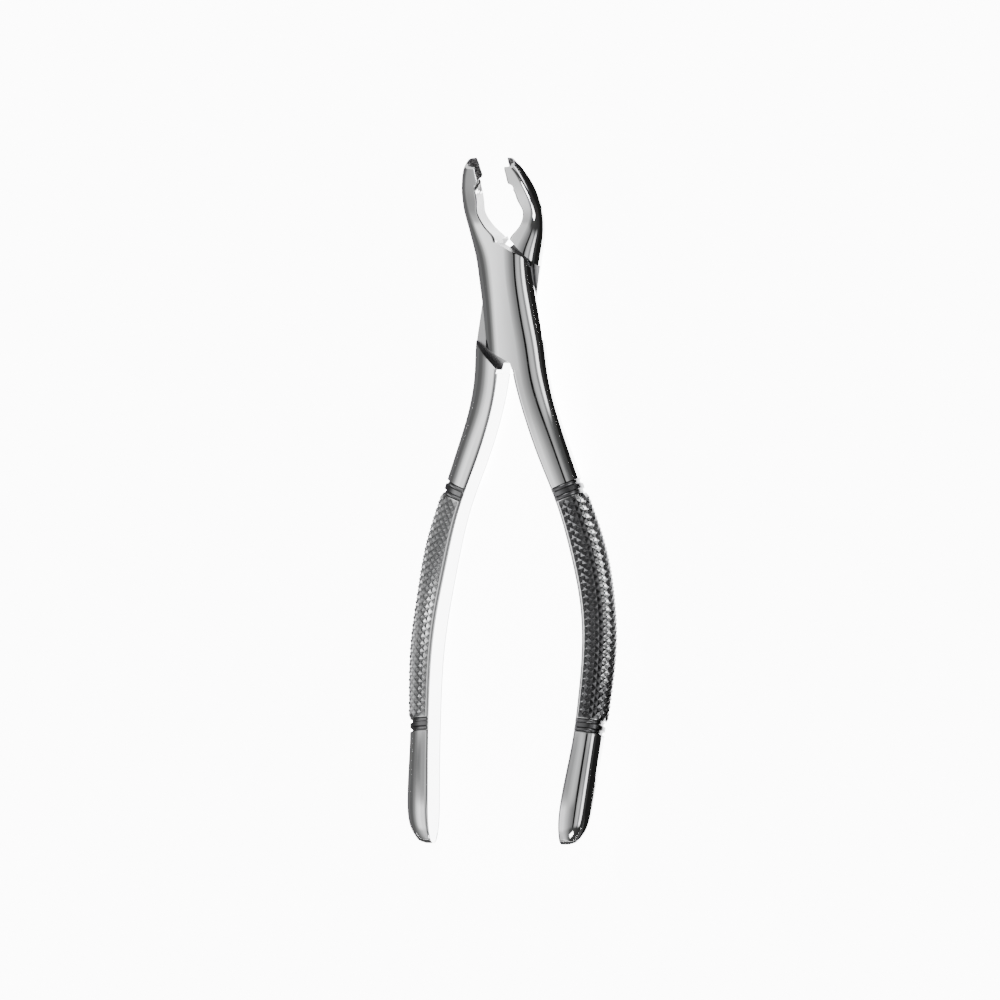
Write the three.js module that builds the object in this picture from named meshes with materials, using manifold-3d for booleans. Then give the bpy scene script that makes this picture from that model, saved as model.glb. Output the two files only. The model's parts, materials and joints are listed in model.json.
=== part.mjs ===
// Dental extraction forceps: two forged halves crossed in a lap joint and held by one screw.
// Millimetres. X is the direction the jaws open, +Y points along the beaks, +Z is the side that
// the beaks and the handle ends curve towards. Lengths are measured from the pivot axis, and the
// finished group is moved so that its origin is the middle of the underside of its box.

import * as THREE from 'three';
import { mergeVertices } from 'three/addons/utils/BufferGeometryUtils.js';
import Module from 'manifold-3d';

const wasm = await Module();
wasm.setup();

// ---- Driving dimensions ------------------------------------------------------------------

const TIP_Y = 37; // beak tip, ahead of the pivot
const END_Y = -140.3; // handle end, behind the pivot
const LEAF_GAP = 0.3; // clearance between the two leaves
const CROTCH_Y = 17.2; // where the beaks' inner edges run into the joint
const CORNER_STEPS = 3; // facets in each rounded corner of a bar's section
const BORE_FACETS = 32;

// Side view: height of the middle of the section, along the instrument.
const railHeight = smooth([
  [END_Y, 7.8], [-134, 7], [-124, 4.8], [-113.5, 2.1], [-103, 0.1], [-88, -2.4], [-74, -3.8],
  [-60, -3.5], [-38, -2.7], [-25, -2.0], [-10, -0.6], [0, 0], [11, 0.3], [17, 0.9],
  [20.4, 2.1], [25.6, 5.0], [30, 7.9], [33.2, 10.2], [TIP_Y, 12.7],
]);

// Side view: half the depth of the section.
const halfDepth = smooth([
  [END_Y, 0.9], [-139.2, 2.4], [-137, 3.5], [-134, 4.2], [-129, 4.45], [-75, 4.5], [-45, 4.5],
  [-25, 4.8], [-10, 5.1], [0, 5.2], [11, 5.1], [17, 4.5], [20.4, 3.5], [23, 2.8], [30, 2.5],
  [33.2, 2.1], [TIP_Y, 1.8],
]);

// Plan view of the handle: its flat inner face and its outer side.
const handleInner = smooth([
  [END_Y, 18.2], [-134, 18.4], [-124, 19.3], [-113.5, 20.4], [-103, 21], [-98, 21.2], [-93, 21.2],
  [-82, 20.5], [-67, 17.7], [-51, 13.1], [-41, 8.95], [-30, 5], [-17, 2.1], [-8, 1.6],
]);
const handleOuter = smooth([
  [END_Y, 20], [-139.2, 22.2], [-137, 24.1], [-134, 25.3], [-129, 26], [-113.5, 27],
  [-103, 27.8], [-87.5, 28.4], [-77, 27.4], [-61.6, 24.4], [-51, 20.6], [-38, 15.8], [-25, 11.6],
  [-17.4, 10.2], [-8, 9.2],
]);

// Plan view of the joint, in the sense of the half whose handle is on +X.
const jointHandleSide = smooth([
  [-18, 10.4], [-11, 9.6], [-4.4, 8.6], [0, 7.7], [6, 6.9], [12, 6.4], [18, 6.2],
]);
const jointBeakSide = smooth([
  [-18, 6.2], [-9.6, 6.3], [-4.4, 6.6], [0.8, 7.1], [6, 7.8], [11, 8.5], [18, 10.15],
]);

// Plan view of the beak: its biting side and its outer side.
const beakInner = smooth([
  [8, 1.8], [16, 1.8], [17.1, 2.1], [19, 4.1], [21.6, 5.9], [23.5, 6.4], [25.5, 6.1],
  [28.2, 5.6], [30.2, 5.3], [31.9, 4.3], [33.5, 4.2], [35.6, 4.2], [TIP_Y, 4.5],
]);
const beakOuter = smooth([
  [8, 8.1], [11, 8.5], [16.4, 9.9], [19, 10.35], [21.6, 10.75], [24.5, 10.9], [27, 10.5],
  [29.5, 10.1], [31.9, 9.3], [34, 8.4], [35.6, 7.4], [TIP_Y, 6.1],
]);

// The knurled grip between its two pairs of ring grooves.
const GRIP = { top: -50.4, bottom: -108.4, height: 0.45 };
const RING = { groove: 1.1, bead: 1.3, depth: 0.55 };

// Lap joint: the leaf's end edge and the shoulder facing it, for the half with its handle on +X.
// The handle's shoulder stands a little further from the pivot than the beak's.
const LEAF_END = { crotch: [-1.7, 15.6], corner: [6.8, 10.9] };
const SHOULDER = { crotch: [-1.8, 16.9], corner: [-8.5, 9.7], heelDrop: 0.9 };

// Side view of the beak's end: it slants from the near lobe to the far lobe.
const TIP_CUT = { near: [34.3, 13.3], far: [37.6, 11.7] };

// The space behind the lobes is cut square through the beaks, and the lobes follow their lean.
const SQUARE_CUT = { full: 24, none: 29 };

// Hollow and notch of each beak.
const BEAK_LEAN = THREE.MathUtils.degToRad(34);
const SCOOP = { x: 4.0, y: 34.6, z: 11.1, deep: 2.2, long: 4.6, across: 1.35 };
const NOTCH = { x: 4.35, y: 30.8, radius: 1.2 };

const SCREW = { radius: 2.6, headRadius: 4, headDepth: 1.5, reach: 3, slot: 1, slotDepth: 0.8 };

// ---- Materials -----------------------------------------------------------------------------

const polishedSteel = () => new THREE.MeshStandardMaterial({
  color: 0xb9bbbd, roughness: 0.14, metalness: 1,
});
const screwSteel = () => new THREE.MeshStandardMaterial({
  color: 0xa9abad, roughness: 0.25, metalness: 1,
});

// ---- Tools of the shape --------------------------------------------------------------------

// A smooth curve through a few [position, value] stations.
function smooth(stations) {
  const sorted = [...stations].sort((a, b) => a[0] - b[0]);
  const curve = new THREE.CubicInterpolant(
    Float64Array.from(sorted, (s) => s[0]), Float64Array.from(sorted, (s) => s[1]), 1,
  );
  return (at) => curve.evaluate(THREE.MathUtils.clamp(at, sorted[0][0], sorted.at(-1)[0]))[0];
}

function solid(geometry) {
  geometry.deleteAttribute('normal');
  geometry.deleteAttribute('uv');
  const merged = mergeVertices(geometry, 1e-4);
  return new wasm.Manifold(new wasm.Mesh({
    numProp: 3,
    vertProperties: merged.attributes.position.array,
    triVerts: Uint32Array.from(merged.index.array),
  }));
}

function named(name, body, material) {
  const { vertProperties, triVerts } = body.getMesh();
  const geometry = new THREE.BufferGeometry();
  geometry.setAttribute('position', new THREE.BufferAttribute(vertProperties, 3));
  geometry.setIndex(new THREE.BufferAttribute(triVerts, 1));
  geometry.computeVertexNormals();
  const mesh = new THREE.Mesh(geometry, material);
  mesh.name = name;
  return mesh;
}

// Place on the side-view rail: the height there and the direction across the bar.
function railFrame(y) {
  const step = 0.25;
  const slope = (railHeight(y + step) - railHeight(y - step)) / (2 * step);
  const across = new THREE.Vector2(-slope, 1).normalize();
  return { height: railHeight(y), across };
}

// A forged bar along the rail. At each station the section is a rectangle between two sides,
// with its low-x and high-x corners rounded by radii of their own. A section also gets how far
// along Y a point leans from its station.
function bar(stations, section) {
  const ring = 4 * (CORNER_STEPS + 1);
  const geometry = new THREE.CylinderGeometry(1, 1, 1, ring, stations.length - 1);
  const place = geometry.attributes.position;
  for (let i = 0; i < place.count; i++) {
    const station = stations[Math.round((place.getY(i) + 0.5) * (stations.length - 1))];
    const { low, high, half, lowRound, highRound, lowDeep, highDeep } = section(station, 0);
    const frame = railFrame(station);
    let x = (low + high) / 2;
    let across = 0;
    if (Math.hypot(place.getX(i), place.getZ(i)) > 0.5) {
      const turn = Math.atan2(place.getZ(i), place.getX(i)) / (2 * Math.PI);
      const index = (Math.round(turn * ring) + ring) % ring;
      const quarter = Math.floor(index / (CORNER_STEPS + 1));
      const angle = (quarter + (index % (CORNER_STEPS + 1)) / CORNER_STEPS) * (Math.PI / 2);
      const onHigh = quarter === 0 || quarter === 3;
      const wide = onHigh ? highRound : lowRound;
      const deep = onHigh ? highDeep : lowDeep;
      across = (quarter < 2 ? 1 : -1) * (half - deep) + deep * Math.sin(angle);
      const here = section(station, across * frame.across.x);
      x = (onHigh ? here.high - wide : here.low + wide) + wide * Math.cos(angle);
    }
    place.setXYZ(i, x, station + across * frame.across.x, frame.height + across * frame.across.y);
  }
  return solid(geometry);
}

// Section between an inner and an outer side, both positive, put on the given side of the axis.
function sided(side, inner, outer, half, innerRound, outerRound) {
  const near = { round: innerRound[0], deep: innerRound[1] };
  const far = { round: outerRound[0], deep: outerRound[1] };
  const [low, high] = side > 0 ? [near, far] : [far, near];
  return {
    low: side > 0 ? inner : -outer,
    high: side > 0 ? outer : -inner,
    half,
    lowRound: low.round,
    highRound: high.round,
    lowDeep: low.deep,
    highDeep: high.deep,
  };
}

function range(from, to, count) {
  return Array.from({ length: count + 1 }, (_, i) => from + ((to - from) * i) / count);
}

// An upright prism over a plan outline, mirrored to the given side.
function prism(outline, side, from, to) {
  const shape = new THREE.Shape(outline.map(([x, y]) => new THREE.Vector2(side * x, y)));
  const geometry = new THREE.ExtrudeGeometry(shape, { depth: to - from, bevelEnabled: false });
  return solid(geometry.translate(0, 0, from));
}

// ---- The regions of one forged half ---------------------------------------------------------
// `side` is +1 for the half whose handle is on +X, and its leaf is then the upper one.

function handle(side) {
  const groove = (from) => [from, from - 0.3, from - RING.groove, from - RING.groove - 0.3];
  const ringTop = GRIP.top + 2 * RING.groove + RING.bead + 0.3;
  const ringBottom = GRIP.bottom - 0.3;
  const pitch = RING.groove + RING.bead;
  const grooves = [ringTop, ringTop - pitch, ringBottom, ringBottom - pitch];
  const inGroove = (y) => grooves.some((g) => y < g - 0.2 && y > g - RING.groove - 0.1);
  const onGrip = (y) => y < GRIP.top - 0.2 && y > GRIP.bottom + 0.2;
  const stations = [
    ...range(END_Y, -137, 4), ...range(-134.5, -115, 5),
    ...grooves.slice(2).flatMap(groove),
    GRIP.bottom, GRIP.bottom + 0.4, ...range(-103, -98, 1), ...range(-93, -55, 8),
    GRIP.top - 0.4, GRIP.top,
    ...grooves.slice(0, 2).flatMap(groove), ...range(-43, -8, 9),
  ].sort((a, b) => a - b);
  return bar(stations, (y) => {
    const relief = inGroove(y) ? -RING.depth : 0;
    const proud = onGrip(y) ? GRIP.height : 0;
    const half = halfDepth(y) + relief + proud;
    const outer = handleOuter(y) + relief + proud;
    const width = outer - handleInner(y);
    return sided(side, handleInner(y), outer, half, [0.18 * width, 0.16 * half],
      [0.72 * width, 0.94 * half]);
  });
}

function jointBody(side) {
  return bar(range(-18, 18, 12), (y) => {
    const ends = [-jointBeakSide(y), jointHandleSide(y)];
    const [low, high] = side > 0 ? ends : [-ends[1], -ends[0]];
    return {
      low, high, half: halfDepth(y), lowRound: 3, highRound: 3, lowDeep: 4.4, highDeep: 4.4,
    };
  });
}

function beakBar(side) {
  const stations = [...range(8, 16, 4), ...range(CROTCH_Y, TIP_Y - 1.3, 14), TIP_Y - 0.5, TIP_Y];
  return bar(stations, (y, lean) => {
    const square = 1 - THREE.MathUtils.smoothstep(y, SQUARE_CUT.full, SQUARE_CUT.none);
    const half = halfDepth(y);
    const width = beakOuter(y) - beakInner(y);
    return sided(-side, beakInner(y + square * lean), beakOuter(y), half,
      [0.1 * width, 0.12 * half], [Math.min(3, 0.66 * width), Math.min(4.4, 0.9 * half)]);
  });
}

// The block ahead of the slanted end of the beaks.
function tipBlock() {
  const { near, far } = TIP_CUT;
  const block = new THREE.BoxGeometry(40, 20, 10).translate(0, 0, 5);
  block.rotateX(Math.atan2(far[1] - near[1], far[0] - near[0]));
  return solid(block.translate(0, (near[0] + far[0]) / 2, (near[1] + far[1]) / 2));
}

// What the beak is cut by: a hollow along its biting side, and a round notch behind its lobes.
function scoop(side) {
  const bowl = new THREE.SphereGeometry(1, 20, 12).scale(SCOOP.deep, SCOOP.long, SCOOP.across);
  return solid(bowl.rotateX(BEAK_LEAN).translate(-side * SCOOP.x, SCOOP.y, SCOOP.z));
}

function notch(side) {
  const cut = new THREE.CylinderGeometry(NOTCH.radius, NOTCH.radius, 12, 16);
  cut.rotateX(Math.PI / 2 + BEAK_LEAN);
  return solid(cut.translate(-side * NOTCH.x, NOTCH.y, railHeight(NOTCH.y)));
}

// Everything that the leaf may cover, between its two slanted end edges.
function leafPlan() {
  const { crotch, corner } = LEAF_END;
  const rise = (crotch[1] - corner[1]) / (crotch[0] - corner[0]);
  const beyond = 12;
  const drop = crotch[1] + (beyond - crotch[0]) * rise;
  const top = crotch[1] + 1;
  const upper = [[-20, top], [crotch[0], top], crotch, [beyond, drop], [20, drop]];
  return [...upper, ...upper.map(([x, y]) => [-x, -y])];
}

// The other half's leaf turns in the space between these shoulders.
function recessPlan() {
  const { crotch, corner, heelDrop } = SHOULDER;
  const rise = (crotch[1] - corner[1]) / (crotch[0] - corner[0]);
  const [left, right] = [-14, 6].map((x) => [x, crotch[1] + (x - crotch[0]) * rise]);
  const heel = ([x, y]) => [-x, -y - heelDrop];
  return [left, right, heel(left), heel(right)];
}

function half(side) {
  const leafRange = side > 0 ? [LEAF_GAP / 2, 30] : [-30, -LEAF_GAP / 2];
  const recessRange = side > 0 ? [-30, LEAF_GAP / 2] : [-LEAF_GAP / 2, 30];
  const leaf = jointBody(side).intersect(prism(leafPlan(), side, ...leafRange));
  const beak = beakBar(side).subtract(tipBlock()).subtract(scoop(side)).subtract(notch(side));
  const arms = handle(side).add(beak);
  return arms.subtract(prism(recessPlan(), side, ...recessRange)).add(leaf);
}

// ---- Screw ---------------------------------------------------------------------------------

// Profile of the screw, or of its hole when `clear` is the room round it.
function screwBody(clear) {
  const head = -halfDepth(0);
  const profile = [
    [0, head - clear], [SCREW.headRadius + clear, head - clear],
    [SCREW.headRadius + clear, head + 0.4],
    [SCREW.radius + clear, head + SCREW.headDepth + clear], [SCREW.radius + clear, SCREW.reach + clear],
    [0, SCREW.reach + clear],
  ].map(([r, z]) => new THREE.Vector2(r, z));
  return solid(new THREE.LatheGeometry(profile, BORE_FACETS).rotateX(Math.PI / 2));
}

function screw() {
  const slot = new THREE.BoxGeometry(2 * SCREW.headRadius + 1, SCREW.slot, 2 * SCREW.slotDepth);
  return screwBody(0).subtract(solid(slot.translate(0, 0, -halfDepth(0))));
}

// ---- Assembly ------------------------------------------------------------------------------

const forceps = new THREE.Group();
const hole = screwBody(LEAF_GAP);
forceps.add(named('front_half', half(1).subtract(hole), polishedSteel()));
forceps.add(named('back_half', half(-1).subtract(hole), polishedSteel()));
forceps.add(named('pivot_screw', screw(), screwSteel()));

const box = new THREE.Box3().setFromObject(forceps);
forceps.position.set(
  -(box.min.x + box.max.x) / 2, -(box.min.y + box.max.y) / 2, -box.min.z,
);

export default forceps;
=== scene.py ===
"""Extraction forceps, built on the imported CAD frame.

Profiles are in millimetres from the pivot: X is the way the jaws open, Y runs towards the beaks,
Z is the side that the beaks and the handle ends curve towards. Each half is one forged bar, lofted
from the tip of its beak to the end of its handle and then cut: the lap joint's recess, the leaf's
ends, the screw hole, and the hollow and notch of the beak. The knurling is a pad of pyramids
joined to the bar.
"""

import json
import math

import bmesh
import bpy
import numpy as np
from mathutils import Matrix, Vector, kdtree


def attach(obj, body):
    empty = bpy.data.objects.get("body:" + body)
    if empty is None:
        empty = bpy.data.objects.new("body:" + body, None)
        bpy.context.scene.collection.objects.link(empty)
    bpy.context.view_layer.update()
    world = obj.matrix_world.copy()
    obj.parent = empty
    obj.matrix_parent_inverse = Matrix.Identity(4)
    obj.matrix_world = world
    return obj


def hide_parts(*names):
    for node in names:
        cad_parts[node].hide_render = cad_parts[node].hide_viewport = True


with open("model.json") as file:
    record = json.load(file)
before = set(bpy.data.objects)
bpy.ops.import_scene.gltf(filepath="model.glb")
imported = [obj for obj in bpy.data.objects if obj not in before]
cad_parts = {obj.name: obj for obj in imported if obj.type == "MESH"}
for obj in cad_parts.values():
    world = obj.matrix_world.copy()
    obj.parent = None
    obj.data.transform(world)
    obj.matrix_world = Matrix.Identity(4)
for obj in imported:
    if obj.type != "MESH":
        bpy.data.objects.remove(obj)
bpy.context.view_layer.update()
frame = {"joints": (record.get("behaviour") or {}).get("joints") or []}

MM = 0.001
PIVOT = Vector(frame["joints"][0]["pos_m"])

# ---- Profiles --------------------------------------------------------------------------------


def profile(*stations):
    """A natural cubic spline through a few (place, value) stations, held level past its ends."""
    places, values = (np.array(side, float) for side in zip(*sorted(stations)))
    gaps = np.diff(places)
    slopes = np.diff(values) / gaps
    count = len(places)
    system = np.eye(count)
    load = np.zeros(count)
    for i in range(1, count - 1):
        system[i, i - 1:i + 2] = gaps[i - 1], 2 * (gaps[i - 1] + gaps[i]), gaps[i]
        load[i] = 6 * (slopes[i] - slopes[i - 1])
    bends = np.linalg.solve(system, load)

    def value(at):
        at = min(max(at, places[0]), places[-1])
        i = min(max(int(np.searchsorted(places, at)) - 1, 0), count - 2)
        gap = gaps[i]
        left, right = places[i + 1] - at, at - places[i]
        cubic = (bends[i] * left ** 3 + bends[i + 1] * right ** 3) / (6 * gap)
        line_left = (values[i] / gap - bends[i] * gap / 6) * left
        line_right = (values[i + 1] / gap - bends[i + 1] * gap / 6) * right
        return float(cubic + line_left + line_right)

    return value


def smoothstep(at, start, stop):
    t = min(max((at - start) / (stop - start), 0.0), 1.0)
    return t * t * (3 - 2 * t)


def slope_of(curve, at, step=0.25):
    return (curve(at + step) - curve(at - step)) / (2 * step)


TIP = 37.0
END = -140.3
BEAK_ROOT = 16.5
HANDLE_ROOT = -16.8

rail_height = profile(
    (END, 7.8), (-134, 7), (-124, 4.8), (-113.5, 2.1), (-103, 0.1), (-88, -2.4), (-74, -3.8),
    (-60, -3.5), (-38, -2.7), (-25, -2.0), (-10, -0.6), (0, 0), (11, 0.3), (17, 0.9),
    (20.4, 2.1), (25.6, 5.0), (30, 7.9), (33.2, 10.2), (TIP, 12.7))
half_depth = profile(
    (END, 0.6), (-140, 1.4), (-139.2, 2.4), (-137, 3.5), (-134, 4.2), (-129, 4.45), (-110, 4.5),
    (-75, 4.5), (-45, 4.5), (-25, 4.8), (-10, 5.1), (0, 5.2), (11, 5.1), (17, 4.5), (20.4, 3.5),
    (23, 2.8), (30, 2.5), (33.2, 2.1), (TIP, 1.8))
handle_inner = profile(
    (END, 18.2), (-134, 18.4), (-124, 19.3), (-113.5, 20.4), (-103, 21), (-95.5, 21.2),
    (-82, 20.5), (-67, 17.7), (-51, 13.1), (-41, 8.95), (-30, 5), (-17, 2.0), (-8, 1.2))
handle_side = profile(
    (END, 20.2), (-140, 21.4), (-139.2, 22.7), (-137, 24.2), (-134, 25.3), (-129, 26),
    (-113.5, 27), (-103, 27.8), (-87.5, 28.4), (-77, 27.4), (-61.6, 24.4), (-51, 20.6),
    (-38, 15.8), (-25, 11.6), (-17.4, 10.2), (-11, 9.6), (-4.4, 8.6), (0, 7.9), (6, 7.0),
    (12, 6.5), (18, 6.3))
beak_side = profile(
    (-18, 6.5), (-9.6, 6.6), (-4.4, 6.9), (0.8, 7.4), (6, 8.1), (11, 8.8), (16.4, 9.9),
    (21.6, 10.75), (24.5, 10.9), (27, 10.6), (29.5, 10.1), (31.9, 9.3), (34, 8.4), (35.6, 7.4),
    (TIP, 6.1))
beak_inner = profile(
    (8, 1.9), (16, 1.95), (17.1, 2.4), (19, 4.2), (21.6, 5.9), (23.5, 6.4), (25.5, 6.1),
    (28.2, 5.6), (30.2, 5.3), (31.9, 4.3), (33.5, 4.2), (35.6, 4.2), (TIP, 4.5))

# How broadly the outer side of the beak is rounded, on the near face and on the far one.
beak_near_round = profile(
    (-18, 5.2), (0, 5.2), (14, 5.2), (19, 4.2), (24, 2.4), (29, 1.7), (TIP, 1.4))
beak_far_round = profile((-18, 5.2), (0, 5.2), (14, 5.2), (20, 4), (26, 2.6), (TIP, 1.6))

# The near and far faces are crowned about the instrument's length, to this radius.
crown_radius = profile((-45, 400), (-32, 120), (-16, 46), (10, 46), (22, 90), (TIP, 110))

# ---- The forged bar --------------------------------------------------------------------------

ARC_STEPS = 9
FLAT_STEPS = (0.06, 0.35, 0.65, 0.94)
GRIP_TOP, GRIP_BOTTOM = -50.4, -108.4
GROOVE_WIDTH, GROOVE_DEPTH, BEAD_WIDTH = 1.25, 0.62, 1.05
ring_pitch = GROOVE_WIDTH + BEAD_WIDTH
GROOVES = (
    GRIP_TOP + 0.5 * GROOVE_WIDTH, GRIP_TOP + 0.5 * GROOVE_WIDTH + ring_pitch,
    GRIP_BOTTOM - 0.5 * GROOVE_WIDTH, GRIP_BOTTOM - 0.5 * GROOVE_WIDTH - ring_pitch)
GROOVE_FADE = 0.7
SQUARE_FULL, SQUARE_NONE = 24, 29
FAR_EDGE_DEPTH = 0.30


def section(y, lean=0.0):
    """Sides, half depth and corner radii of the bar at y, for the half with its handle on +X."""
    half = half_depth(y)
    if y > BEAK_ROOT:
        square = 1 - smoothstep(y, SQUARE_FULL, SQUARE_NONE)
        low, high = -beak_side(y), -beak_inner(y + square * lean)
        width = high - low
        inner = (0.09 * width, 0.12 * half)
        near = (min(beak_near_round(y), 0.7 * width), 0.88 * half)
        far = (min(beak_far_round(y), 0.7 * width), 0.88 * half)
        return low, high, half, (inner, near, far, inner)
    if y < HANDLE_ROOT:
        low, high = handle_inner(y), handle_side(y)
        width = high - low
        inner = (0.13 * width, 0.14 * half)
        mixed = smoothstep(-y, 25, 45)
        outer = ((1 - mixed) * 5.7 + mixed * 0.72 * width, 0.9 * half)
        far_inner = (inner[0], FAR_EDGE_DEPTH * half)
        return low, high, half, (outer, inner, far_inner, outer)
    low, high = -beak_side(y), handle_side(y)
    beak = (beak_near_round(y), 0.88 * half)
    handle = (5.7, 0.9 * half)
    return low, high, half, (handle, beak, beak, handle)


def slant(y):
    """How much the sections lean to stay square to the spreading handle."""
    return -slope_of(handle_inner, y) * smoothstep(-y, 22, 36)


def ring_places():
    """(corner, turn through it, share of the flat after it) for each point round a section."""
    places = []
    for corner in range(4):
        places += [(corner, step / ARC_STEPS, 0.0) for step in range(ARC_STEPS + 1)]
        places += [(corner, 1.0, share) for share in FLAT_STEPS]
    return places


RING = ring_places()


def corner_point(low, high, half, radii, corner, turn):
    wide, deep = radii[corner]
    angle = (corner + turn) * math.pi / 2
    right, up = corner in (0, 3), corner in (0, 1)
    x = (high - wide if right else low + wide) + wide * math.cos(angle)
    across = (half - deep if up else deep - half) + deep * math.sin(angle)
    normal = Vector((math.cos(angle) / wide, math.sin(angle) / deep)).normalized()
    return Vector((x, across)), normal


def section_point(shape, place):
    corner, turn, share = place
    point, normal = corner_point(*shape, corner, turn)
    if share:
        after, _ = corner_point(*shape, (corner + 1) % 4, 0.0)
        point = point.lerp(after, share)
    return point, normal


def crowned(point, y, half):
    share = point.y / half
    drop = point.x ** 2 / (2 * crown_radius(y)) * (1 - smoothstep(-y, 28, 44))
    return Vector((point.x, point.y - share * drop))


def bar_point(station, place, relief=0.0):
    """A point of the bar's skin, raised by relief, with its sides read where the point lies."""
    middle = 0.5 * (handle_inner(station) + handle_side(station))
    lean_back = slant(station)
    y, lean = station, 0.0
    for _ in range(3):
        shape = section(y, lean)
        point, normal = section_point(shape, place)
        point = crowned(point, y, shape[2])
        slope = slope_of(rail_height, y)
        across = Vector((-slope, 1)).normalized()
        lean = point.y * across.x
        y = station + lean_back * (point.x - middle)
    if relief and y < HANDLE_ROOT:
        fade = smoothstep(point.x - shape[0], 0.1, GROOVE_FADE)
        point = point + normal * relief * fade
    return Vector((point.x, y + point.y * across.x, rail_height(y) + point.y * across.y))


def groove_relief(station):
    cut = 0.0
    for groove in GROOVES:
        reach = 2 * (station - groove) / GROOVE_WIDTH
        if abs(reach) < 1:
            cut = -GROOVE_DEPTH * math.sqrt(1 - reach * reach)
    return cut


def spread(start, stop, pitch):
    return list(np.linspace(start, stop, max(2, round(abs(stop - start) / pitch) + 1)))


def bar_stations():
    stations = spread(END, -134, 0.35) + spread(-133, GROOVES[3] - 1.2, 1.0)
    for groove in GROOVES:
        stations += spread(groove - 0.5 * GROOVE_WIDTH, groove + 0.5 * GROOVE_WIDTH, 0.11)
    stations += spread(GROOVES[2] + 1.2, GROOVES[0] - 1.2, 1.4)
    stations += spread(GROOVES[1] + 1.0, -24, 1.0) + spread(-23.3, HANDLE_ROOT - 0.05, 0.65)
    stations += spread(HANDLE_ROOT + 0.05, BEAK_ROOT - 0.05, 0.8)
    stations += spread(BEAK_ROOT + 0.05, TIP, 0.42)
    return sorted(set(round(s, 4) for s in stations))


def forged_bar():
    """The whole uncut bar, as a ring extruded from station to station, and its grooves' points."""
    bm = bmesh.new()
    sunk = []
    stations = bar_stations()
    ring = bmesh.ops.create_circle(bm, segments=len(RING), radius=1)["verts"]
    edges = list(bm.edges)
    start = bmesh.ops.contextual_create(bm, geom=edges)["faces"]
    for index, station in enumerate(stations):
        if index:
            made = bmesh.ops.extrude_edge_only(bm, edges=edges)["geom"]
            edges = [part for part in made if isinstance(part, bmesh.types.BMEdge)]
            fresh = {part for part in made if isinstance(part, bmesh.types.BMVert)}
            ring = [next(e.other_vert(v) for e in v.link_edges if e.other_vert(v) in fresh)
                    for v in ring]
        relief = groove_relief(station)
        ringed = any(abs(station - (a + b) / 2) < (abs(a - b) + GROOVE_WIDTH) / 2
                     for a, b in (GROOVES[:2], GROOVES[2:]))
        for vert, place in zip(ring, RING):
            vert.co = bar_point(station, place, relief)
            if ringed:
                moved = bar_point(station, place, -0.4) - bar_point(station, place)
                if moved.length > 0.2:
                    sunk.append(vert.co.copy())
    bmesh.ops.contextual_create(bm, geom=edges)
    bmesh.ops.recalc_face_normals(bm, faces=bm.faces)
    return bm, sunk


# ---- Knurling --------------------------------------------------------------------------------

KNURL_HEIGHT = 0.52
KNURL_HALF_PITCH = 1.0
KNURL_COLUMNS = 18
KNURL_STRIP = 0.1


def knurl_path(station):
    """Places round the outer side, far inner edge to near inner edge, and how far along each is."""
    places = [(2, 1.0, share) for share in (0, 0.35, 0.7)]
    places += [(3, step / 12, 0.0) for step in range(13)] + [(3, 1.0, 0.5)]
    places += [(0, step / 12, 0.0) for step in range(13)] + [(0, 1.0, 0.3), (0, 1.0, 0.65)]
    places += [(1, 0.0, 0.0)]
    shape = section(station)
    points = [section_point(shape, place)[0] for place in places]
    steps = [(after - before).length for before, after in zip(points, points[1:])]
    return places, np.cumsum([0.0] + steps)


def knurl_pad():
    """A closed pad of pyramids that stands a little proud of the grip."""
    rows = round((GRIP_TOP - GRIP_BOTTOM) / KNURL_HALF_PITCH)
    bm = bmesh.new()
    bmesh.ops.create_grid(bm, x_segments=KNURL_COLUMNS, y_segments=rows, size=0.5)
    row_of = bm.verts.layers.int.new("row")
    column_of = bm.verts.layers.int.new("column")
    for vert in bm.verts:
        vert[row_of] = round((vert.co.y + 0.5) * rows)
        vert[column_of] = round((vert.co.x + 0.5) * KNURL_COLUMNS)
    valleys = [v for v in bm.verts if (v[row_of] + v[column_of]) % 2 == 0]
    bmesh.ops.connect_verts(bm, verts=valleys)
    made = bmesh.ops.extrude_face_region(bm, geom=bm.faces[:])["geom"]
    inside = {part for part in made if isinstance(part, bmesh.types.BMVert)}
    tracks = {}
    for vert in bm.verts:
        row, column = vert[row_of], vert[column_of]
        station = GRIP_BOTTOM + 0.15 + (GRIP_TOP - GRIP_BOTTOM - 0.3) * row / rows
        if row not in tracks:
            tracks[row] = knurl_path(station)
        places, along = tracks[row]
        reach = KNURL_STRIP + (along[-1] - 2 * KNURL_STRIP) * column / KNURL_COLUMNS
        after = min(max(int(np.searchsorted(along, reach)), 1), len(places) - 1)
        share = (reach - along[after - 1]) / (along[after] - along[after - 1])
        peak = (row + column) % 2 if row not in (0, rows) else 0
        if column in (0, KNURL_COLUMNS):
            peak *= 0.45
        relief = -0.9 if vert in inside else 0.03 + KNURL_HEIGHT * peak
        ends = [raised_point(station, places[i], relief) for i in (after - 1, after)]
        vert.co = ends[0].lerp(ends[1], share)
    bmesh.ops.recalc_face_normals(bm, faces=bm.faces)
    return bm


def raised_point(station, place, relief):
    """A point of the bar's skin moved out along the section's own normal."""
    base = bar_point(station, place)
    _, normal = section_point(section(station), place)
    across = Vector((-slope_of(rail_height, station), 1)).normalized()
    return base + Vector((normal.x, normal.y * across.x, normal.y * across.y)) * relief


# ---- Cutting ---------------------------------------------------------------------------------


def as_object(name, bm):
    mesh = bpy.data.meshes.new(name)
    bm.to_mesh(mesh)
    bm.free()
    obj = bpy.data.objects.new(name, mesh)
    bpy.context.scene.collection.objects.link(obj)
    return obj


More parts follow.
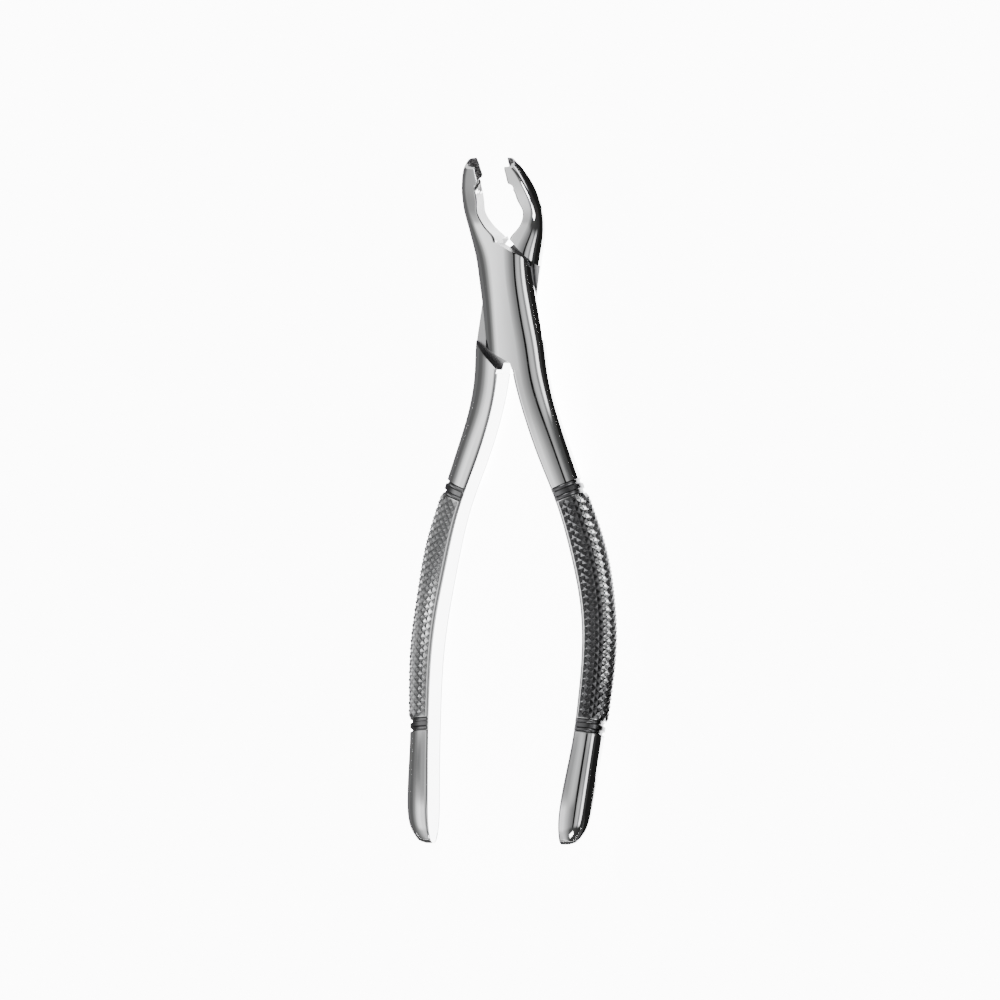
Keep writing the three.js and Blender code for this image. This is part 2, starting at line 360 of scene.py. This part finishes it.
def combine(obj, bm, operation="DIFFERENCE"):
    """Cuts the shape in bm out of obj, or joins it on, and keeps the result as obj's mesh."""
    tool = as_object("tool", bm)
    step = obj.modifiers.new("combine", "BOOLEAN")
    step.operation = operation
    step.solver = "EXACT"
    step.object = tool
    graph = bpy.context.evaluated_depsgraph_get()
    result = bpy.data.meshes.new_from_object(obj.evaluated_get(graph))
    obj.modifiers.clear()
    spent = [obj.data, tool.data]
    obj.data = result
    bpy.data.objects.remove(tool)
    for mesh in spent:
        bpy.data.meshes.remove(mesh)


def prism(outline, bottom, top):
    """An upright prism over a plan outline."""
    bm = bmesh.new()
    ring = bmesh.ops.create_circle(bm, segments=len(outline), radius=1)["verts"]
    for vert, (x, y) in zip(ring, outline):
        vert.co = (x, y, bottom)
    face = bmesh.ops.contextual_create(bm, geom=bm.edges[:])["faces"]
    made = bmesh.ops.extrude_face_region(bm, geom=face)["geom"]
    risen = [part for part in made if isinstance(part, bmesh.types.BMVert)]
    bmesh.ops.translate(bm, verts=risen, vec=(0, 0, top - bottom))
    bmesh.ops.recalc_face_normals(bm, faces=bm.faces)
    return bm


def turned(profile_points, steps):
    """A solid of revolution about Z, from its (radius, height) points, ending on the axis."""
    bm = bmesh.new()
    verts = [bmesh.ops.create_vert(bm, co=(r, 0, z))["vert"][0] for r, z in profile_points]
    for before, after in zip(verts, verts[1:]):
        bmesh.ops.contextual_create(bm, geom=[before, after])
    bmesh.ops.spin(bm, geom=bm.verts[:] + bm.edges[:], cent=(0, 0, 0), axis=(0, 0, 1),
                   angle=2 * math.pi, steps=steps, use_merge=True)
    bmesh.ops.remove_doubles(bm, verts=bm.verts, dist=1e-5)
    bmesh.ops.recalc_face_normals(bm, faces=bm.faces)
    return bm


LAP_GAP = 0.15
LEAF_CROTCH, LEAF_CORNER = (-1.7, 15.6), (6.8, 10.9)
SHOULDER_CROTCH, SHOULDER_CORNER, HEEL_DROP = (-1.8, 16.9), (-8.5, 9.7), 0.9


CROTCH_RELIEF, CROTCH_TOP = 0.8, 18.4


def leaf_wedge():
    """What lies beyond the leaf's slanted end on the beak side, next to the crotch."""
    (x0, y0), (x1, y1) = LEAF_CROTCH, LEAF_CORNER
    drop = y0 + (12 - x0) * (y1 - y0) / (x1 - x0)
    return [(x0 - CROTCH_RELIEF, CROTCH_TOP), LEAF_CROTCH, (12, drop), (20, drop),
            (20, CROTCH_TOP)]


def recess_plan():
    """Where the other half's leaf turns, between this half's two slanted shoulders."""
    (x0, y0), (x1, y1) = SHOULDER_CROTCH, SHOULDER_CORNER
    left, right = ((x, y0 + (x - x0) * (y1 - y0) / (x1 - x0)) for x in (-14, 6))
    heel_left, heel_right = ((-x, -y - HEEL_DROP) for x, y in (left, right))
    return [left, right, heel_left, heel_right]


def turned_about(outline):
    return [(-x, -y) for x, y in outline]


# ---- Beaks -----------------------------------------------------------------------------------

BEAK_LEAN = math.radians(34)
SCOOP_CENTRE, SCOOP_HALF = (-4.0, 34.6, 11.1), (2.9, 4.6, 1.5)
TOOTH_PITCH, TOOTH_DEPTH = 0.5, 0.3
NOTCH_CENTRE, NOTCH_RADIUS = (-4.35, 30.8), 1.2
TIP_NEAR, TIP_FAR = (34.3, 13.3), (37.6, 11.7)


def scoop():
    """The spoon-shaped hollow along the beak's biting side, ribbed across by its teeth."""
    wide, long, deep = SCOOP_HALF
    bm = bmesh.new()
    steps = round(2 * long / TOOTH_PITCH) * 4
    ring = bmesh.ops.create_circle(bm, segments=28, radius=1)["verts"]
    edges = bm.edges[:]
    bmesh.ops.contextual_create(bm, geom=edges)
    for step in range(steps + 1):
        if step:
            made = bmesh.ops.extrude_edge_only(bm, edges=edges)["geom"]
            edges = [part for part in made if isinstance(part, bmesh.types.BMEdge)]
            fresh = {part for part in made if isinstance(part, bmesh.types.BMVert)}
            ring = [next(e.other_vert(v) for e in v.link_edges if e.other_vert(v) in fresh)
                    for v in ring]
        along = -1 + 2 * (step + 0.5) / (steps + 1)
        girth = math.sqrt(1 - along * along)
        tooth = TOOTH_DEPTH * (abs(step % 4 - 2) / 2 - 0.5)
        for index, vert in enumerate(ring):
            angle = 2 * math.pi * index / len(ring)
            vert.co = ((wide * girth + tooth) * math.cos(angle), along * long,
                       (deep * girth + tooth) * math.sin(angle))
    bmesh.ops.contextual_create(bm, geom=edges)
    bmesh.ops.recalc_face_normals(bm, faces=bm.faces)
    place = Matrix.Translation(SCOOP_CENTRE) @ Matrix.Rotation(BEAK_LEAN, 4, "X")
    bmesh.ops.transform(bm, matrix=place, verts=bm.verts)
    return bm


def notch():
    bm = bmesh.new()
    bmesh.ops.create_cone(bm, cap_ends=True, segments=32, radius1=NOTCH_RADIUS,
                          radius2=NOTCH_RADIUS, depth=12)
    x, y = NOTCH_CENTRE
    place = Matrix.Translation((x, y, rail_height(y))) @ Matrix.Rotation(BEAK_LEAN, 4, "X")
    bmesh.ops.transform(bm, matrix=place, verts=bm.verts)
    return bm


def tip_block():
    """The block ahead of the slanted end of the beaks."""
    bm = bmesh.new()
    bmesh.ops.create_cube(bm, size=1)
    bmesh.ops.scale(bm, vec=(40, 20, 10), verts=bm.verts)
    bmesh.ops.translate(bm, vec=(0, 0, 5), verts=bm.verts)
    slope = math.atan2(TIP_FAR[1] - TIP_NEAR[1], TIP_FAR[0] - TIP_NEAR[0])
    middle = [(a + b) / 2 for a, b in zip(TIP_NEAR, TIP_FAR)]
    place = Matrix.Translation((0, *middle)) @ Matrix.Rotation(slope, 4, "X")
    bmesh.ops.transform(bm, matrix=place, verts=bm.verts)
    return bm


# ---- Screw -----------------------------------------------------------------------------------

SCREW_RADIUS, HEAD_RADIUS, HEAD_DEPTH, SCREW_REACH = 2.6, 3.95, 1.5, 3.0
SCREW_CLEAR = 0.06


SCREW_SIDES, SCREW_EDGE, HOLE_OVERRUN = 48, 0.12, 1.5


def screw_profile(clear, edge, beyond=0.0):
    """Half the outline of the screw; the hole it sits in runs on `beyond` past the head's face."""
    head = -half_depth(0)
    rim, face = HEAD_RADIUS + clear, head - clear - beyond
    return [(0, face), (rim - edge, face), (rim, face + edge),
            (rim, head + 0.4), (SCREW_RADIUS + clear, head + HEAD_DEPTH + clear),
            (SCREW_RADIUS + clear, SCREW_REACH + clear), (0, SCREW_REACH + clear)]


def slot_cutter():
    bm = bmesh.new()
    bmesh.ops.create_cube(bm, size=1)
    bmesh.ops.scale(bm, vec=(10, 1, 1.6), verts=bm.verts)
    bmesh.ops.translate(bm, vec=(0, 0, -half_depth(0)), verts=bm.verts)
    return bm


# ---- Making the pieces -----------------------------------------------------------------------


def mark_knurling(obj, pad, knurl_shade_levels):
    """Stores the painted shade of each point of the knurling: 0 outside it, and 1 deep in a valley.
    """
    depth = obj.data.attributes.new("knurl_painted_shade", "FLOAT", "POINT")
    tree = kdtree.KDTree(len(pad))
    for index, (place, _) in enumerate(pad):
        tree.insert(place, index)
    tree.balance()
    for index, vert in enumerate(obj.data.vertices):
        _, nearest, distance = tree.find(vert.co)
        depth.data[index].value = knurl_shade_levels[pad[nearest][1]] if distance < 0.05 else 0.0


def on_line(place, start, stop):
    """Whether a point lies on a slanted line of the plan, or on its extension."""
    across = Vector((stop[1] - start[1], start[0] - stop[0])).normalized()
    return abs((Vector(place[:2]) - Vector(start)).dot(across)) < 0.04


def is_lap(face):
    """Whether a face belongs to the flat of the lap joint."""
    place = face.calc_center_median()
    return abs(abs(place.z) - LAP_GAP) < 0.02 and abs(face.normal.z) > 0.99 and abs(place.y) < 20


def is_shoulder(face):
    """Whether a face belongs to the slanted shoulders or to the leaf's slanted ends."""
    place = face.calc_center_median()
    if abs(place.y) > 27 or abs(place.x) > 10 or abs(face.normal.z) > 0.02:
        return False
    wedge, recess = leaf_wedge(), recess_plan()
    lines = [(wedge[1], wedge[2]), (turned_about(wedge)[1], turned_about(wedge)[2]),
             (recess[0], recess[1]), (recess[2], recess[3])]
    return any(on_line(place, *line) for line in lines)


def is_serrated(face):
    """Whether a face belongs to the toothed hollow of the beak."""
    unlean = Matrix.Rotation(-BEAK_LEAN, 3, "X")
    place = unlean @ (face.calc_center_median() - Vector(SCOOP_CENTRE))
    outward = Vector((c / size for c, size in zip(place, SCOOP_HALF)))
    return 0.8 < outward.length < 1.12 and (unlean @ face.normal).dot(outward) < 0


def is_biting(face):
    """Whether a face belongs to the edges that the beak bites with."""
    return face.calc_center_median().y > 29.0 and face.normal.x > 0.5


HOLLOW_FROM, HOLLOW_TO = 16.0, 28.5


def is_hollow_wall(face):
    """Whether a face belongs to the side of the beak that faces the other beak."""
    place = face.calc_center_median()
    near_edge = place.x + beak_inner(place.y) > -1.2
    return HOLLOW_FROM < place.y < HOLLOW_TO and near_edge and face.normal.x > 0.2


def is_hollow_edge(face):
    """Whether a face belongs to the rounded edge between that side and the beak's near face."""
    return is_hollow_wall(face) and 0.35 < face.normal.z < 0.94


def is_far_edge(face):
    """Whether a face belongs to the rounded far edge of the handle's inner flat."""
    place = face.calc_center_median()
    if place.y > -18.0 or place.x - handle_inner(place.y) > 1.6:
        return False
    below = rail_height(place.y) - place.z > 0.68 * half_depth(place.y)
    return below and face.normal.x < -0.3 and face.normal.z > -0.75


# The first test that a face passes says which of its piece's materials it takes after the first.
FINISHES = (
    is_lap, is_serrated, is_shoulder, is_biting, is_hollow_edge, is_hollow_wall, is_far_edge)


def finish_mesh(obj, mirrored, sharp_angle, peak_shade_level=None):
    bm = bmesh.new()
    bm.from_mesh(obj.data)
    bmesh.ops.remove_doubles(bm, verts=bm.verts, dist=1e-4)
    bmesh.ops.dissolve_degenerate(bm, dist=1e-4, edges=bm.edges)
    bm.normal_update()
    for face in bm.faces:
        kinds = [index for index, matches in enumerate(FINISHES, 1) if matches(face)]
        face.material_index = kinds[0] if kinds else 0
    place = Matrix.Translation(PIVOT) @ Matrix.Scale(MM, 4)
    if mirrored:
        place = place @ Matrix.Scale(-1, 4, (1, 0, 0))
    bmesh.ops.transform(bm, matrix=place, verts=bm.verts)
    bmesh.ops.recalc_face_normals(bm, faces=bm.faces)
    knurl_shade_layer = bm.verts.layers.float.get("knurl_painted_shade")
    for face in bm.faces:
        # Faces that touch a knurl peak, found by its painted-shade level, are shaded flat.
        face.smooth = not knurl_shade_layer or all(abs(v[knurl_shade_layer] - peak_shade_level) > 0.01 for v in face.verts)
    bm.to_mesh(obj.data)
    bm.free()
    obj.data.set_sharp_from_angle(angle=math.radians(sharp_angle))


THROUGH = 30
HALF_SHARP, SCREW_SHARP = 28, 25


def forged_half(name, leaf_near, knurl_shade_levels):
    """One half with its handle on +X, and its leaf on the near or the far side of the lap."""
    bar, sunk = forged_bar()
    obj = as_object(name, bar)
    pad = knurl_pad()
    row_of, column_of = pad.verts.layers.int["row"], pad.verts.layers.int["column"]
    marks = [(v.co.copy(), (v[row_of] + v[column_of]) % 2) for v in pad.verts]
    marks += [(place, 2) for place in sunk]
    combine(obj, pad, "UNION")
    combine(obj, prism(leaf_wedge(), -THROUGH, THROUGH))
    combine(obj, prism(turned_about(leaf_wedge()), -THROUGH, THROUGH))
    levels = (-THROUGH, LAP_GAP) if leaf_near else (-LAP_GAP, THROUGH)
    combine(obj, prism(recess_plan(), *levels))
    for cutter in (tip_block, scoop, notch):
        combine(obj, cutter())
    combine(obj, turned(screw_profile(SCREW_CLEAR, 0.0, HOLE_OVERRUN), SCREW_SIDES))
    mark_knurling(obj, marks, knurl_shade_levels)
    finish_mesh(obj, not leaf_near, HALF_SHARP, knurl_shade_levels[1])
    return obj


def pivot_screw():
    obj = as_object("slotted_screw", turned(screw_profile(0.0, SCREW_EDGE), SCREW_SIDES))
    combine(obj, slot_cutter())
    finish_mesh(obj, False, SCREW_SHARP)
    return obj


# Painted shade on the knurling of each half, from 0 to 1: in its valleys, on its peaks and in the
# ring grooves; the front half's is darker.
FRONT_KNURL_SHADE = (1.0, 0.88, 0.95)
BACK_KNURL_SHADE = (0.80, 0.50, 0.85)

front = forged_half("front_forging", True, FRONT_KNURL_SHADE)
back = forged_half("back_forging", False, BACK_KNURL_SHADE)
screw = pivot_screw()
for piece, body, node, slot in (
        (front, "front", "front_half", "forged_steel"),
        (back, "back", "back_half", "forged_steel"),
        (screw, "front", "pivot_screw", "screw_steel")):
    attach(piece, body)
    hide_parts(node)

# ---- Materials -------------------------------------------------------------------------------


class Wire:
    """A shader value that can be added to, multiplied and so on as if it were a number."""

    def __init__(self, maker, socket):
        self.maker, self.socket = maker, socket

    def _maths(self, operation, first, second):
        return self.maker.node("ShaderNodeMath", {"operation": operation}, {0: first, 1: second})

    def __add__(self, other):
        return self._maths("ADD", self, other)

    def __radd__(self, other):
        return self._maths("ADD", other, self)

    def __sub__(self, other):
        return self._maths("SUBTRACT", self, other)

    def __rsub__(self, other):
        return self._maths("SUBTRACT", other, self)

    def __mul__(self, other):
        return self._maths("MULTIPLY", self, other)

    def __rmul__(self, other):
        return self._maths("MULTIPLY", other, self)

    def __truediv__(self, other):
        return self._maths("DIVIDE", self, other)

    def __pow__(self, other):
        return self._maths("POWER", self, other)

    def least(self, other):
        return self._maths("MINIMUM", self, other)

    def between(self, low, high):
        """0 below low, 1 above high and smooth in between."""
        return self.maker.node("ShaderNodeMapRange", {"interpolation_type": "SMOOTHSTEP"},
                               {"Value": self, "From Min": low, "From Max": high})


class Shader:
    """Adds nodes to one tree: type, then settings, then values or links for the inputs."""

    def __init__(self, tree):
        self.tree = tree
        tree.nodes.clear()

    def raw(self, kind, settings=None, inputs=None):
        node = self.tree.nodes.new(kind)
        for key, value in (settings or {}).items():
            setattr(node, key, value)
        for key, value in (inputs or {}).items():
            if isinstance(value, Wire):
                self.tree.links.new(value.socket, node.inputs[key])
            else:
                node.inputs[key].default_value = value
        return node

    def node(self, kind, settings=None, inputs=None, output=0):
        return Wire(self, self.raw(kind, settings, inputs).outputs[output])

    def mix(self, share, first, second):
        return self.node("ShaderNodeMix", {"data_type": "RGBA"}, {0: share, 6: first, 7: second},
                         output=2)


def steel(name, tint, base_rough, streak, bump, pits_and_painted_pit_shade=0.0):
    """Polished surgical steel: faint polishing streaks, hairline scratches and handling haze, with
    painted shade that darkens the knurling and the pits.
    """
    material = bpy.data.materials.new(name)
    material.use_nodes = True
    make = Shader(material.node_tree)
    here = make.node("ShaderNodeTexCoord", output=3)
    stretched = make.node("ShaderNodeMapping", {}, {"Vector": here, "Scale": (1400, 60, 1400)})
    streaks = make.node("ShaderNodeTexNoise", {}, {
        "Vector": stretched, "Scale": 1.0, "Detail": 3.0})
    haze = make.node("ShaderNodeTexNoise", {}, {"Vector": here, "Scale": 90.0, "Detail": 4.0})
    patches = make.node("ShaderNodeTexNoise", {}, {"Vector": here, "Scale": 420.0, "Detail": 2.0})
    crossed = make.node("ShaderNodeMapping", {}, {
        "Vector": here, "Rotation": (0, 0, 0.7), "Scale": (2600, 240, 2600)})
    scratches = make.node("ShaderNodeTexNoise", {}, {
        "Vector": crossed, "Scale": 1.0, "Detail": 2.0})
    hairline = scratches.between(0.66, 0.74)
    depth = make.node("ShaderNodeAttribute", {"attribute_name": "knurl_painted_shade"}, output=2)
    painted_shade_mix = depth.between(0.2, 1.0)
    cut = depth.between(0.0, 0.2)
    shade = make.mix(haze.between(0.35, 0.65), [c * 0.97 for c in tint] + [1], [*tint, 1])
    # Painted shade: the knurling is darkened towards near black by its stored shade level, deepest
    # in valleys and grooves.
    shade = make.mix(painted_shade_mix * 0.95, shade, (0.08, 0.08, 0.084, 1))
    rough = base_rough + streak * streaks + 0.05 * haze.between(0.4, 0.7) + 0.06 * hairline
    rough = (rough + 0.10 * cut + 0.12 * painted_shade_mix).least(0.6)
    pits = make.node("ShaderNodeTexNoise", {}, {"Vector": here, "Scale": 2600.0, "Detail": 2.0})
    # Painted shade: the pits are darkened to near black in colour, as well as given relief in the
    # bump.
    shade = make.mix(pits.between(0.42, 0.58) * pits_and_painted_pit_shade, shade, (0.03, 0.03, 0.03, 1))
    height = streaks * 0.6 + patches * 0.25 + hairline * -0.4 + pits * (6 * pits_and_painted_pit_shade)
    relief = make.node("ShaderNodeBump", {}, {
        "Strength": bump, "Distance": 0.00002, "Height": height})
    surface = make.raw("ShaderNodeBsdfPrincipled", {}, {
        "Base Color": shade, "Metallic": 1.0, "Roughness": rough, "Normal": relief})
    result = make.raw("ShaderNodeOutputMaterial")
    make.tree.links.new(surface.outputs[0], result.inputs[0])
    return material


forged_steel = steel("polished surgical steel", (0.70, 0.705, 0.71), 0.045, 0.035, 0.10)
# Ground lap faces: rougher, and darkened as painted shade where the two halves meet.
lap_steel_with_painted_shade = steel("ground lap steel with painted shade", (0.34, 0.34, 0.345), 0.20, 0.12, 0.25)
# Toothed hollow: rough and bumped, with a darker tint and dark pits as painted shade.
serrated_steel_with_painted_shade = steel("serrated beak steel with painted shade", (0.36, 0.36, 0.365), 0.24, 0.12, 0.5, pits_and_painted_pit_shade=0.8)
# Painted dark reflection: the shoulders and the leaf's slanted ends are near black in colour.
shoulder_painted_reflection_steel = steel("shoulder steel with painted dark reflection", (0.05, 0.05, 0.052), 0.34, 0.12, 0.30)
# Painted shade: near-black pitted colour on the beak's biting edges for the shade of teeth too
# small to model, and a painted dark reflection on the far edge of each handle's inner flat.
painted_dark_edge_steel = steel("edge steel with painted shade", (0.04, 0.04, 0.041), 0.34, 0.12, 0.4, pits_and_painted_pit_shade=0.5)
# Painted dark reflection: a dark line along the rounded edge of the beak's hollow side, on the
# front half only; the back half takes polished steel there.
painted_edge_line_steel = steel("beak edge line with painted dark reflection", (0.10, 0.10, 0.102), 0.14, 0.12, 0.20)
# Painted dark reflection: the side of each beak that faces the other beak is darkened.
painted_hollow_steel = steel("beak hollow with painted dark reflection", (0.15, 0.15, 0.152), 0.24, 0.12, 0.30)
screw_steel = steel("turned screw steel", (0.62, 0.62, 0.63), 0.20, 0.12, 0.30)
half_steels = (forged_steel, lap_steel_with_painted_shade, serrated_steel_with_painted_shade, shoulder_painted_reflection_steel, painted_dark_edge_steel)
front_steels = half_steels + (painted_edge_line_steel, painted_hollow_steel, painted_dark_edge_steel)
back_steels = half_steels + (forged_steel, painted_hollow_steel, painted_dark_edge_steel)
for piece, materials in ((front, front_steels), (back, back_steels), (screw, (screw_steel,))):
    for material in materials:
        piece.data.materials.append(material)

# ---- Floor, light and camera -----------------------------------------------------------------


FLOOR_GLOW = 13.0
CARD_HEIGHT = 0.0006


def floor():
    bm = bmesh.new()
    bmesh.ops.create_grid(bm, x_segments=1, y_segments=1, size=1.5)
    bmesh.ops.translate(bm, vec=(0, 0, -0.0003), verts=bm.verts)
    obj = as_object("floor", bm)
    material = bpy.data.materials.new("pale floor")
    material.use_nodes = True
    make = Shader(material.node_tree)
    grain = make.node("ShaderNodeTexNoise", {}, {
        "Vector": make.node("ShaderNodeTexCoord", output=3), "Scale": 60.0, "Detail": 3.0})
    shade = make.mix(grain, (0.86, 0.86, 0.86, 1), (0.89, 0.89, 0.89, 1))
    surface = make.raw("ShaderNodeBsdfPrincipled", {}, {
        "Base Color": shade, "Roughness": 0.8, "Emission Color": shade,
        "Emission Strength": FLOOR_GLOW})
    result = make.raw("ShaderNodeOutputMaterial")
    make.tree.links.new(surface.outputs[0], result.inputs[0])
    obj.data.materials.append(material)
    return obj


def soft_light(name, place, aim, size, power):
    light = bpy.data.lights.new(name, "AREA")
    light.shape = "RECTANGLE"
    light.size, light.size_y = size
    light.energy = power
    obj = bpy.data.objects.new(name, light)
    obj.location = place
    obj.rotation_euler = (Vector(aim) - Vector(place)).to_track_quat("-Z", "Y").to_euler()
    bpy.context.scene.collection.objects.link(obj)
    return obj


def card(name, near, far, glow):
    """A card on the floor between two rows of points. Only the steel's reflections see it."""
    bm = bmesh.new()
    bmesh.ops.create_grid(bm, x_segments=1, y_segments=len(near) - 1, size=0.5)
    for vert in bm.verts:
        index = round((vert.co.y + 0.5) * (len(near) - 1))
        x, y = (near if vert.co.x < 0 else far)[index]
        vert.co = PIVOT + Vector((x, y, 0)) * MM
        vert.co.z = CARD_HEIGHT
    obj = as_object(name, bm)
    material = bpy.data.materials.new(name)
    material.use_nodes = True
    make = Shader(material.node_tree)
    surface = make.raw("ShaderNodeEmission", {}, {"Color": (1, 1, 1, 1), "Strength": glow})
    result = make.raw("ShaderNodeOutputMaterial")
    make.tree.links.new(surface.outputs[0], result.inputs[0])
    obj.data.materials.append(material)
    obj.visible_camera = obj.visible_diffuse = False
    return obj


def beside(side, gap):
    """Points along the outside of the instrument, a gap away from it."""
    heights = np.linspace(-150, 46, 25)
    edges = [handle_side(y) if y < HANDLE_ROOT else max(handle_side(y), beak_side(y))
             for y in heights]
    return [(side * (edge + gap), y) for edge, y in zip(edges, heights)]


def thrown_out(points, reach=9):
    return [(x * reach * 3, -50 + (y + 50) * reach) for x, y in points]


def across(y, half_width=200):
    return [(x, y) for x in np.linspace(-half_width, half_width, 9)]


floor()
card("dark_card", beside(1, 6), thrown_out(beside(1, 36)), 0.02)
card("grey_card", beside(-1, 3), thrown_out(beside(-1, 36)), 0.22)
card("low_card", across(-152), across(-950, 1200), 0.12)
card("tip_card", across(50), across(850, 1200), 0.10)
card("bite_card", [(-3, 29), (-3, 44)], [(16, 29), (16, 44)], 0.04)
soft_light("top soft light", (0.45, 1.1, 0.7), (0, 0, 0), (0.5, 0.4), 6)
soft_light("low soft light", (0.45, -1.1, 0.9), (0, 0, 0), (0.4, 0.35), 6)

# The studio tent, as (turn about the instrument's length from straight above, brightness).
TENT = ((-180, 0.8), (-90, 0.16), (-72, 0.18), (-55, 0.5), (-42, 1.7), (-32, 2.5), (-24, 1.9),
        (-12, 1.0), (0, 0.55), (12, 0.33), (19.5, 0.28), (20.5, 0.003), (27.5, 0.003), (28.5, 0.45),
        (36, 0.9), (44, 1.0), (50, 0.35), (54, 0.4), (59, 3.5), (67, 4.0), (71, 0.06), (180, 0.03))
TENT_RISE = ((-180, 0.3), (-90, 0.40), (-60, 0.16), (-42, 0.25), (-24, 0.6), (-5, 1.1), (12, 0.8),
             (20, 0.004), (28, 0.004), (30, 0.5), (60, 0.12), (90, 0.06), (180, 0.06))
TENT_BEYOND = ((-180, 0.5), (-120, 1.2), (-60, 2.4), (-40, 1.7), (-22, 0.7), (0, 0.35), (30, 0.1),
               (60, 0.25), (180, 0.1))
TENT_DIP = ((-180, 0.12), (-88, 0.15), (-64, 0.3), (-48, 0.6), (-26, 1.3), (-8, 0.5), (10, 0.1),
            (90, 0.04), (180, 0.04))
TENT_BEFORE = ((-180, 0.3), (-75, 0.42), (-58, 0.5), (-46, 0.8), (-36, 1.9), (-15, 0.8),
               (0, 0.25), (20, 0.06), (90, 0.08), (180, 0.08))
TENT_TOP = 6.0


def tent_ramp(turn, stops):
    ramp = tent.raw("ShaderNodeValToRGB", {}, {"Fac": turn / 360 + 0.5})
    marks = ramp.color_ramp.elements
    while len(marks) < len(stops):
        marks.new(0.5)
    for mark, (angle, glow) in zip(marks, stops):
        mark.position = angle / 360 + 0.5
        mark.color = (glow / TENT_TOP, glow / TENT_TOP, glow / TENT_TOP, 1)
    return Wire(tent, ramp.outputs[0])


world = bpy.data.worlds.new("studio tent")
bpy.context.scene.world = world
world.use_nodes = True
tent = Shader(world.node_tree)
around = tent.raw("ShaderNodeSeparateXYZ", {}, {
    "Vector": tent.node("ShaderNodeTexCoord", output=0)})
side, ahead, up = (Wire(tent, around.outputs[i]) for i in range(3))
turn = tent.node("ShaderNodeMath", {"operation": "ARCTAN2"}, {0: side, 1: up}) * (180 / math.pi)
glow = tent.mix(ahead.between(0.2, 0.4), tent_ramp(turn, TENT), tent_ramp(turn, TENT_RISE))
glow = tent.mix(ahead.between(0.46, 0.58), glow, tent_ramp(turn, TENT_BEYOND))
glow = tent.mix((ahead * -1).between(0.3, 0.5), glow, tent_ramp(turn, TENT_DIP))
glow = tent.mix((ahead * -1).between(0.74, 0.82), glow, tent_ramp(turn, TENT_BEFORE))
back_light = tent.raw("ShaderNodeBackground", {}, {"Color": glow, "Strength": TENT_TOP})
result = tent.raw("ShaderNodeOutputWorld")
tent.tree.links.new(back_light.outputs[0], result.inputs[0])

VIEW_TILT = math.radians(24)
VIEW_CENTRE = Vector((-0.00231, 0.00023, 0.00981))
VIEW_WIDTH, LENS = 0.25974, 400.0
camera_data = bpy.data.cameras.new("camera")
camera_data.lens = LENS
camera_data.sensor_width = 36.0
camera_data.clip_end = 20.0
camera = bpy.data.objects.new("camera", camera_data)
toward = Vector((math.sin(VIEW_TILT), 0, math.cos(VIEW_TILT)))
right = Vector((math.cos(VIEW_TILT), 0, -math.sin(VIEW_TILT)))
camera.matrix_world = Matrix.Translation(VIEW_CENTRE + toward * VIEW_WIDTH * LENS / 36.0) @ Matrix(
    (right, Vector((0, 1, 0)), toward)).transposed().to_4x4()
bpy.context.scene.collection.objects.link(camera)
bpy.context.scene.camera = camera
